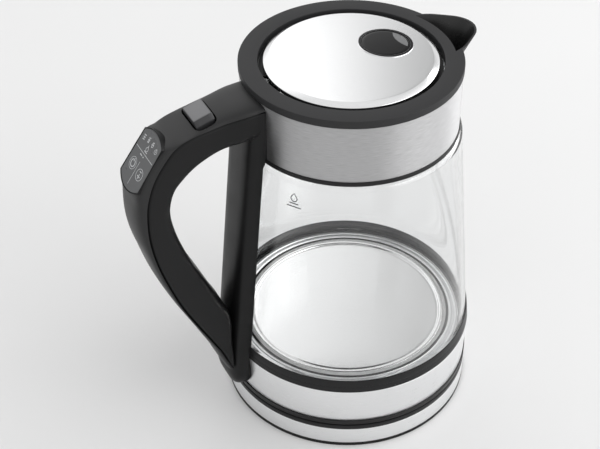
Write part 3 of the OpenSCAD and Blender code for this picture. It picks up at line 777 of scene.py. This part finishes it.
# Side outlines in the XZ plane, station by station from the collar round to the heel: the ridge where
# the side walls end, the crest of the rounded cover over it, and the inner edge of the grip
RIDGE = [
    (-59.9, 226.9), (-66.9, 226.5), (-75, 225.7), (-89.6, 223.8), (-102.7, 221.9), (-111.6, 218.4),
    (-118, 212.2), (-125.8, 200.9), (-130.6, 187), (-131.9, 172), (-131.2, 158), (-128.6, 143),
    (-123.4, 125), (-116.2, 105), (-106.5, 84.5), (-95, 62), (-91, 52), (-87, 42),
]
CREST = [
    (-59.5, 231), (-64.6, 230.8), (-74.5, 230.1), (-89, 227.5), (-101.7, 223.1), (-112.2, 219.9),
    (-120.6, 216.9), (-134.2, 197.5), (-137.2, 185.3), (-138, 172), (-136.5, 160), (-133.4, 148),
    (-128.3, 130), (-120.7, 110.5), (-110.3, 88.5), (-98.8, 63.5), (-94.6, 52.6), (-90, 42),
]
INNER = [
    (-59.9, 209.8), (-68.4, 209.4), (-76, 208.3), (-87, 206.6), (-95.4, 203.6), (-102.2, 200),
    (-108.4, 195), (-113.6, 189.2), (-116.5, 181), (-117.1, 172.5), (-115.3, 161.2), (-111.8, 148.6),
    (-106.1, 132.8), (-98.9, 116.6), (-91.6, 99.6), (-85.6, 84), (-85.6, 52), (-86, 42),
]
# How square the cover's section is at each station: rounded on the grip, flat-topped under the panel
SQUARENESS = [2.6, 2.6, 2.6, 2.5, 1.9, 2.4, 5.5, 6.5, 3.2, 2.4, 2.3, 2.3, 2.3, 2.3, 2.4, 2.6, 2.6, 2.6]

# Where the grip starts to widen towards the collar, and over what length
FLARE_X = -86
FLARE_LENGTH = 18


def stations(*outlines):
    """The outlines with extra stations between the given ones, paired up."""
    return list(zip(*[smooth_line(o, 6) for o in outlines]))


def across(origin, outward, points):
    """Places points (out, sideways) of a cross-section at a station of the handle."""
    return [(origin.x + outward.x * u, y, origin.y + outward.y * u) for u, y in points]


def grip_half(ridge):
    """Half the grip's width at a station: it flares out to the strip's width at the collar."""
    flare = max(0.0, min(1.0, (ridge.x - FLARE_X) / FLARE_LENGTH))
    return GRIP_HALF + (LINER_HALF - 0.1 - GRIP_HALF) * flare * flare * (3 - 2 * flare)


def handle_shell():
    """Grip's inner half: two side walls with a chamfered ridge and a rounded inner edge."""
    sections = []
    wall = 2.4
    chamfer = 1.5
    inner_edge_r = 5.5
    for ridge, inner in stations(RIDGE, INNER):
        y = grip_half(ridge)
        outward = ridge - inner
        depth = outward.length
        outward.normalize()
        t = min(wall, 0.3 * depth)
        edge = min(inner_edge_r, 0.42 * depth)
        outline = rounded([
            (depth, chamfer - y, 0.3), (depth - chamfer, -y, 0.8), (0, -y, edge), (0, y, edge),
            (depth - chamfer, y, 0.8), (depth, y - chamfer, 0.3),
            (depth, y - t, 0), (t, y - t, edge * 0.6), (t, t - y, edge * 0.6), (depth, t - y, 0),
        ], 5)
        sections.append(across(inner, outward, outline))
    return loft("grip_shell", sections)


def arch(half, height, lift, power):
    """Half of a superellipse over the sideways axis, as points (out, sideways)."""
    steps = 20
    points = []
    for k in range(steps + 1):
        a = math.pi * k / steps
        side = math.copysign(abs(math.cos(a)) ** power, math.cos(a))
        points.append(Vector((lift + height * abs(math.sin(a)) ** power, half * side)))
    return points


def handle_cover():
    """Rounded cover that closes the grip's outer side, with a fine parting groove along each edge."""
    sections = []
    wall = 2.0
    groove = 0.35
    square = [Vector((s, 0)) for s in SQUARENESS]
    for ridge, crest, form in stations(RIDGE, CREST, square):
        outward = crest - ridge
        rise = outward.length
        outward.normalize()
        power = 2 / form.x
        t = min(wall, 0.45 * rise)
        half = grip_half(ridge)
        foot_y = half - 1.6
        outer = arch(half, rise - groove, groove, power)
        inner = list(reversed(arch(half - wall - 0.4, rise - t - 0.1, 0.1, power)))
        outline = [Vector((0.1, foot_y))] + outer + [Vector((0.1, -foot_y))] + inner
        sections.append(across(ridge, outward, outline))
    return loft("grip_cover", sections)


def tilted(at, degrees):
    """Frame with X up a slope and Z out of its face, at a point of the handle."""
    return Matrix.Translation(Vector(at)) @ Matrix.Rotation(-math.radians(degrees), 4, "Y")


PANEL = tilted((-127.4, 0, 207.5), 54.5)
BUTTON = tilted((-94.25, 0, 229), 15)
PANEL_TOP_HALF = 11.4
PANEL_FOOT_HALF = 12.2
PANEL_STRAIGHT = 13.5
PANEL_TOP_RISE = 3.5
PANEL_FOOT_RISE = 4.6


def panel_outline(grow):
    """Outline of the control panel: straight sides, a low arc at the top and a fuller one at the foot."""
    points = []
    for end, half, rise in ((1, PANEL_TOP_HALF, PANEL_TOP_RISE), (-1, PANEL_FOOT_HALF, PANEL_FOOT_RISE)):
        r = (half ** 2 + rise ** 2) / (2 * rise) + grow
        centre = end * (PANEL_STRAIGHT + rise + grow - r)
        swing = math.degrees(math.asin((half + grow) / r))
        mid = 0 if end > 0 else 180
        points += arc(centre, 0, r, mid - swing, mid + swing, 20)
    return points


def handle_grip():
    """The grip's inner half and its cover, cut out for the panel and the button."""
    shell = handle_shell()
    cover = handle_cover()
    foot_x, top_x, half_y = -6.2, 7.4, 12.4
    corners = ((foot_x, -half_y), (top_x, -half_y), (top_x, half_y), (foot_x, half_y))
    recess = rounded([(x, y, 5) for x, y in corners], 6)
    for half in (shell, cover):
        carve(half, prism("panel_cut", panel_outline(0.8), -9, 12, PANEL))
        carve(half, prism("button_cut", recess, -8, 12, BUTTON))
    soften(cover, 1.1, 4, 50)
    soften(shell, 0.25, 2, 50)
    dress(shell, "jug", "black_plastic", BLACK, replaces="handle_shell")
    dress(cover, "jug", "black_plastic", COVER_BLACK, replaces="handle_cover")


def jug_radius(z):
    """Radius of the jug's outside at a height, with the clearance that the liner keeps."""
    clearance = 0.2
    # Foot, foot ring, glass, shoulder, neck ring and upper band
    profile = [(0, BODY_R), (47.6, BODY_R), (56.5, BODY_R - 0.9), (57, GLASS_FOOT_R), (190.2, GLASS_TOP_R),
               (192.5, 63.7), (195.3, 63.5), (196, NECK_BAND_R), (230.3, NECK_BAND_R)]
    for (z0, r0), (z1, r1) in zip(profile, profile[1:]):
        if z <= z1:
            return r0 + (r1 - r0) * (z - z0) / (z1 - z0) + clearance
    return NECK_BAND_R + clearance


def handle_liner():
    """Strip that carries the handle: rounded outside, hollow against the jug, with a tongue-shaped foot."""
    z0 = low("handle_liner").z - 1.8
    z1 = 226.4
    tongue = 12
    tongue_z = z0 + tongue
    tongue_narrowing = 9
    tongue_tuck = 5.5
    back_x, back_z, back_slope = -72.4, 188, 0.1
    squareness = 3.4
    # Close together round the tongue and where the jug's outside steps, even along the glass
    heights = [z0 + (1 - math.cos(math.radians(a))) * tongue for a in range(0, 91, 15)]
    heights += [44, 47.5, 56.5, 57.2]
    heights += [62 + 8 * k for k in range(17)]
    heights += [192.4, 195.4, 196.2, 205, 215, z1 - 0.8, z1]
    sections = []
    for z in heights:
        drop = max(0.0, min(1.0, (tongue_z - z) / tongue))
        tuck = 1 - math.sqrt(1 - drop * drop)
        half = LINER_HALF - tongue_narrowing * tuck
        back = back_x - back_slope * (back_z - max(z, tongue_z)) + tongue_tuck * tuck
        r = jug_radius(z)
        front = -math.sqrt(r * r - half * half)
        outer = arch(half, max(front - back, 0.6), 0, 2 / squareness)
        section = [(front - p.x, p.y, z) for p in outer]
        section += [(-math.sqrt(r * r - y * y), y, z) for y in (half * (k / 4 - 1) for k in range(1, 8))]
        sections.append(section)
    piece = loft("handle_liner_strip", sections, math.radians(40))
    carve(piece, latch_slot(-72, -58))
    dress(piece, "jug", "black_plastic", BLACK, replaces="handle_liner")


def panel_parts():
    """Bezel, touch panel and its printed marks."""
    bezel = prism("panel_frame", panel_outline(0.7), -8.6, 0.15, PANEL)
    carve(bezel, prism("well", panel_outline(0.12), -1.6, 3, PANEL))
    soften(bezel, 0.2)
    dress(bezel, "jug", "black_plastic", BLACK, replaces="panel_bezel")
    face = prism("touch_panel_face", panel_outline(0), -1.5, 0, PANEL)
    soften(face, 0.25)
    dress(face, "jug", "panel_grey", PANEL_GREY, replaces="touch_panel")
    dress(panel_print(), "jug", "white_plastic", PRINT)


def panel_print():
    """Plain marks for the keys: a row of four settings over a line, two small signs and two round keys."""
    mesh = bmesh.new()
    z0, z1 = 0.01, 0.05

    def line(points, width=0.45, closed=False):
        ribbon_into(mesh, points, width, z0, z1, closed)

    def ring(x, y, r, width):
        line(circle(x, y, r, 44), width, True)

    key_pitch = 5.2
    stroke_pitch = 1.3
    for k in range(4):
        y = 1.5 * key_pitch - key_pitch * k
        x = 11.2 - 0.02 * (y * y)
        for n in range(-1, 2):
            stroke_x = x + n * stroke_pitch
            line([(stroke_x, y + 1.1 - 0.2 * k), (stroke_x + 0.3, y - 1.1 + 0.2 * k)], 0.5)
        line(circle(x, y, 0.5 + 0.25 * k, 20), 0.3, True)
    line([(3.6, -10.8), (3.6, 10.8)], 0.3)
    line([(5, -1.7), (5, 1.7)])
    line(circle(6.7, 0, 1.2, 24), 0.35, True)
    line([(7.9, 0), (9.2, 0)])
    line([(1.9, 1.2), (1.9, 3.6)], 0.6)
    line([(1.9, -1), (1.9, 0.2)], 0.6)
    power_x, power_y = -5.2, 5.2
    line(arc(power_x, power_y, 2.1, 25, 335, 36), 0.6)
    ring(power_x, power_y, 3.5, 0.25)
    line([(power_x + 1, power_y), (power_x + 2.8, power_y)], 0.6)
    line([(-15.6, 0), (-1.2, 0)], 0.25)
    level_x, level_y = -6.4, -5.4
    sign_half = 1.5
    ring(level_x, level_y, 3.3, 0.3)
    line([(level_x - 1, level_y - sign_half), (level_x - 1, level_y + sign_half)], 0.55)
    line([(level_x - 1 - sign_half, level_y), (level_x - 1 + sign_half, level_y)], 0.55)
    line([(level_x + 1.8, level_y - 1), (level_x + 1.8, level_y + 1)], 0.55)
    for v in mesh.verts:
        v.co = (PANEL @ (v.co / MM)) * MM
    return add_piece("panel_marks", mesh)


def release_button():
    """Button with a metallic crowned top and sloping sides that run down into the recess; the sides are
    darkened with painted shade.
    """
    half_x = 5.8
    middle_x = 0.6
    top_y, foot_y, inner_y = 7.4, 9.4, 8.4
    flank_z, foot_z, hollow_z = -3.2, -6.4, -4.4
    rounding_z = -4
    section = rounded([
        (-top_y, 0, 0.7), (top_y, 0, 0.7), (foot_y, flank_z, 0.6), (foot_y, foot_z, 0),
        (inner_y, foot_z, 0), (inner_y, hollow_z, 0), (-inner_y, hollow_z, 0), (-inner_y, foot_z, 0),
        (-foot_y, foot_z, 0), (-foot_y, flank_z, 0.6),
    ], 5)
    ends = [(-half_x, 0.75), (-half_x + 0.15, 0.35), (-half_x + 0.4, 0.12), (-half_x + 0.8, 0)]
    rows = ends + [(x, 0) for x in (-3, 0, 3)] + [(-x, drop) for x, drop in reversed(ends)]
    sections = []
    for x, drop in rows:
        crown = 0.15 * (x / half_x) ** 2
        narrow = 1 - drop / 14
        sections.append([
            BUTTON @ Vector((x + middle_x, p.x * narrow, p.y - (drop if p.y > rounding_z else 0) - crown))
            for p in section
        ])
    piece = loft("button_cap", sections)
    # Faces that point away from the button's top take the dark material, as painted shade
    face_up = BUTTON.to_3x3() @ Vector((0, 0, 1))
    painted_shade_mask = [int(p.normal.dot(face_up) < 0.75) for p in piece.data.polygons]
    piece.data.polygons.foreach_set("material_index", painted_shade_mask)
    dress(piece, "button", "button_grey", BUTTON_METAL, BUTTON_FLANK_PAINTED_SHADE, replaces="release_button")


def springs():
    """Button and latch springs, copied from their CAD nodes."""
    for name, node, joint, axis, travel in (
        ("button_spring_pair", "button_springs", "button_press", Vector((0, 0, 1)), 1.93),
        ("latch_spring_coil", "latch_spring", "latch_slide", Vector((1, 0, 0)), 1.5),
    ):
        mesh = bmesh.new()
        mesh.from_mesh(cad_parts[node].data)
        piece = add_piece(name, mesh)
        dress(piece, "jug", "spring_steel", ZINC, replaces=node)
        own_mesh(piece)


# ---- Lid ----

BEVEL_R = LID_R - 3.6
BEVEL_Z = 236.1
DOME_RISE = LID_TOP - BEVEL_Z
DOME_R = (BEVEL_R ** 2 + DOME_RISE ** 2) / (2 * DOME_RISE)


def dome_z(r):
    """Height of the lid's dome at a radius."""
    return LID_TOP - DOME_R + math.sqrt(DOME_R ** 2 - r * r)


LENS_CROWN = 0.38
LENS_FRAME = (
    Matrix.Translation(Vector((LENS_AT_X, 0, dome_z(LENS_AT_X))))
    @ Matrix.Rotation(math.asin(LENS_AT_X / DOME_R), 4, "Y")
)


def lid_cap():
    """Steel cap: a shallow dome, a bevelled edge and a turned-down rim, with a hole for the window."""
    sheet = 0.8
    z0 = low("lid_cap").z
    rim_z = 234.1
    rows = 16
    top = [(r, dome_z(r), 0) for r in (BEVEL_R * k / rows for k in range(rows))]
    edge = [
        (BEVEL_R, BEVEL_Z, 0.35), (LID_R - 0.1, rim_z + 0.15, 0.4), (LID_R, z0, 0.1),
        (LID_R - sheet, z0, 0.1), (LID_R - sheet, rim_z - 0.4, 0.3),
    ]
    under = [(r, dome_z(r) - sheet, 0) for r in ((BEVEL_R - 0.4) * k / rows for k in range(rows, -1, -1))]
    piece = lathe("lid_cap_shell", rounded(top + edge + under))
    hole = circle(0, 0, LENS_R + 0.3, 96)
    carve(piece, prism("hole", hole, -4, 4, LENS_FRAME))
    for face in piece.data.polygons:
        away = math.hypot(face.center.x, face.center.y) / MM
        face.material_index = int(away > BEVEL_R + 0.1)
    dress(piece, "lid", "steel_satin", LID_STEEL, EDGE_STEEL, replaces="lid_cap")


def turned(name, outline, place):
    """Small lathed piece in a frame of its own."""
    mesh = bmesh.new()
    lathe_into(mesh, outline, turns=96)
    for v in mesh.verts:
        v.co = (place @ (v.co / MM)) * MM
    return add_piece(name, mesh)


def crown_z(r):
    """Height of the window's crowned face over its rim."""
    return LENS_CROWN * (1 - (r / LENS_R) ** 2)


def painted_window_reflection():
    """Painted reflection of a soft box on the window: a paler crescent on the spout side, between an arc at
    its rim and a flatter one.
    """
    rim_r = 12.4
    inner_r = 14.5
    half_y = 8.2
    lift = 0.03
    rows, columns = 24, 6
    rim_x = math.sqrt(rim_r ** 2 - half_y ** 2)
    mesh = bmesh.new()
    verts = []
    for i in range(rows + 1):
        y = half_y * math.sin(math.pi * (i / rows - 0.5))
        outer_x = math.sqrt(rim_r ** 2 - y * y)
        inner_x = rim_x - (math.sqrt(inner_r ** 2 - y * y) - math.sqrt(inner_r ** 2 - half_y ** 2))
        xs = [inner_x + (outer_x - inner_x) * k / columns for k in range(columns + 1)]
        row = [LENS_FRAME @ Vector((x, y, crown_z(math.hypot(x, y)) + lift)) for x in xs]
        verts.append([mesh.verts.new(p * MM) for p in row])
    for row, after in zip(verts, verts[1:]):
        for k in range(columns):
            mesh.faces.new([row[k], row[k + 1], after[k + 1], after[k]])
    piece = add_piece("lid_painted_window_reflection", mesh)
    sheet = piece.modifiers.new("thickness", "SOLIDIFY")
    sheet.thickness = 0.12 * MM
    sheet.offset = -1
    dress(piece, "lid", "lens", WINDOW_PAINTED_REFLECTION)


def lid_window():
    """Dark window in the lid, crowned like a watch glass, in a dark bezel with two fine bright lines."""
    rows = 8
    foot_z = -2.4
    crown = [(r, crown_z(r), 0) for r in ((LENS_R - 0.6) * k / rows for k in range(rows + 1))]
    lens = turned("lid_window", rounded(crown + [
        (LENS_R - 0.05, -0.25, 0.2), (LENS_R - 0.05, foot_z, 0), (0, foot_z, 0),
    ]), LENS_FRAME)
    shade(lens, math.radians(50))
    dress(lens, "lid", "lens", LENS, replaces="lid_lens")
    gap_r = LENS_R + 0.28
    bezel_r = LENS_R + 1.4
    bezel = turned("lid_window_bezel", rounded([
        (LENS_R + 0.12, -1.4, 0), (gap_r, -1.4, 0), (gap_r, -0.15, 0), (bezel_r, -0.25, 0),
        (bezel_r, 0.14, 0.12), (LENS_R + 0.12, 0.24, 0.15),
    ]), LENS_FRAME)
    dress(bezel, "lid", "lens", LENS)
    line_r0, line_r1 = LENS_R - 0.03, LENS_R + 0.1
    line = turned("lid_window_line", rounded([
        (line_r0, foot_z, 0), (line_r1, foot_z, 0), (line_r1, 0.24, 0.05), (line_r0, 0.24, 0.05),
    ]), LENS_FRAME)
    dress(line, "lid", "trim_chrome", BUTTON_METAL, replaces="lid_lens_ring")
    trim_r0, trim_r1 = bezel_r + 0.02, bezel_r + 0.3
    trim = turned("lid_window_trim", rounded([
        (trim_r0, -0.3, 0), (trim_r1, -0.3, 0), (trim_r1, 0.02, 0.1), (trim_r0, 0.14, 0.08),
    ]), LENS_FRAME)
    dress(trim, "lid", "trim_chrome", TRIM)
    # Painted reflection: a paler crescent laid on the window
    painted_window_reflection()


# ---- Stage ----

# The camera's place in metres, its angles in degrees and its lens in millimetres
CAMERA_AT = Vector((-0.3014, -0.53705, 0.62184))
CAMERA_AZIMUTH = 63.4226
CAMERA_PITCH = 39.5004
CAMERA_ROLL = -0.5138
CAMERA_LENS = 77.875


def add_camera():
    """The photo's camera: on the handle's side, looking down at the kettle."""
    azimuth, pitch, roll = (math.radians(a) for a in (CAMERA_AZIMUTH, CAMERA_PITCH, CAMERA_ROLL))
    level_part = math.cos(pitch)
    forward = Vector((level_part * math.cos(azimuth), level_part * math.sin(azimuth), -math.sin(pitch)))
    level = forward.cross(Vector((0, 0, 1))).normalized()
    upright = level.cross(forward)
    right = math.cos(roll) * level + math.sin(roll) * upright
    up = math.cos(roll) * upright - math.sin(roll) * level
    camera = bpy.data.objects.new("camera", bpy.data.cameras.new("camera"))
    camera.data.sensor_width = 36
    camera.data.lens = CAMERA_LENS
    facing = Matrix((right, up, -forward)).transposed().to_4x4()
    camera.matrix_world = Matrix.Translation(CAMERA_AT) @ facing
    bpy.context.scene.collection.objects.link(camera)
    bpy.context.scene.camera = camera


def area_light(name, at, aim, size, power):
    """Soft box of a size and power in metres and watts, aimed at a point."""
    data = bpy.data.lights.new(name, "AREA")
    data.shape = "RECTANGLE"
    data.size, data.size_y = size
    data.energy = power
    light = bpy.data.objects.new(name, data)
    light.location = at
    light.rotation_euler = (Vector(aim) - Vector(at)).to_track_quat("-Z", "Y").to_euler()
    bpy.context.scene.collection.objects.link(light)


def world_dot(tree, direction):
    """How far the looked-at direction points along a given one."""
    dot = tree.nodes.new("ShaderNodeVectorMath")
    dot.operation = "DOT_PRODUCT"
    dot.inputs[1].default_value = Vector(direction).normalized()
    tree.links.new(tree.nodes.new("ShaderNodeTexCoord").outputs["Generated"], dot.inputs[0])
    return dot.outputs["Value"]


def add_surround():
    """Pale room, bright on the right; its far wall runs from dim on the right to bright on the left."""
    world = bpy.data.worlds.new("surround")
    world.use_nodes = True
    tree = world.node_tree

    def ramp(value, *limits):
        return map_range(tree, value, *limits, "SMOOTHSTEP")

    room = 0.88
    leftward = world_dot(tree, (-0.894, 0.447, 0))
    back = ramp(world_dot(tree, (0.447, 0.894, 0)), 0.1, 0.5, 0.0, 1.0)
    raised = ramp(world_dot(tree, (0, 0, 1)), 0.12, 0.4, 0.0, 1.0)
    sweep = ramp(leftward, -0.26, 0.16, -0.42, 0.55)
    right = ramp(leftward, -0.45, -0.95, 0.0, 1.6)
    left = ramp(leftward, 0.45, 0.9, 0.0, -0.2)
    behind = maths(tree, "MULTIPLY", maths(tree, "MULTIPLY", back, raised), sweep)
    level = maths(tree, "ADD", maths(tree, "ADD", behind, right), maths(tree, "ADD", left, room))
    tint = tree.nodes.new("ShaderNodeCombineColor")
    for channel in ("Red", "Green", "Blue"):
        tree.links.new(level, tint.inputs[channel])
    tree.links.new(tint.outputs["Color"], tree.nodes["Background"].inputs["Color"])
    bpy.context.scene.world = world


def add_studio():
    """Pale floor, the surround and two weak soft boxes."""
    paper = (0.77, 0.77, 0.77)
    material, tree, shader = node_material("floor_paper", paper, 0.9)
    shader.inputs["Specular IOR Level"].default_value = 0.1
    vary_colour(tree, shader, noise(tree, object_coords(tree), 3.0), paper, 0.01)
    mesh = bmesh.new()
    bmesh.ops.create_grid(mesh, x_segments=8, y_segments=8, size=4)
    floor = add_piece("floor", mesh)
    floor.data.materials.append(material)
    add_surround()
    area_light("soft_box_right", (1.5, 0.1, 0.55), (0, 0, 0.12), (0.8, 1.2), 6)
    area_light("soft_box_front", (0.52, -0.92, 1.0), (-0.08, 0, 0.2), (0.7, 0.35), 1.6)
    bpy.context.scene.view_settings.view_transform = "Standard"


add_camera()
add_studio()
finish_cad_nodes()
base_shell()
steel_band("base_band", "base_steel_band", "power_base")
steel_band("jug_band", "lower_steel_band", "jug", taper=0.65)
base_feet()
foot_ring()
glass_jug()
plate()
gasket()
neck_ring()
fill_mark()
collar()
handle_grip()
handle_liner()
panel_parts()
release_button()
springs()
lid_cap()
lid_window()
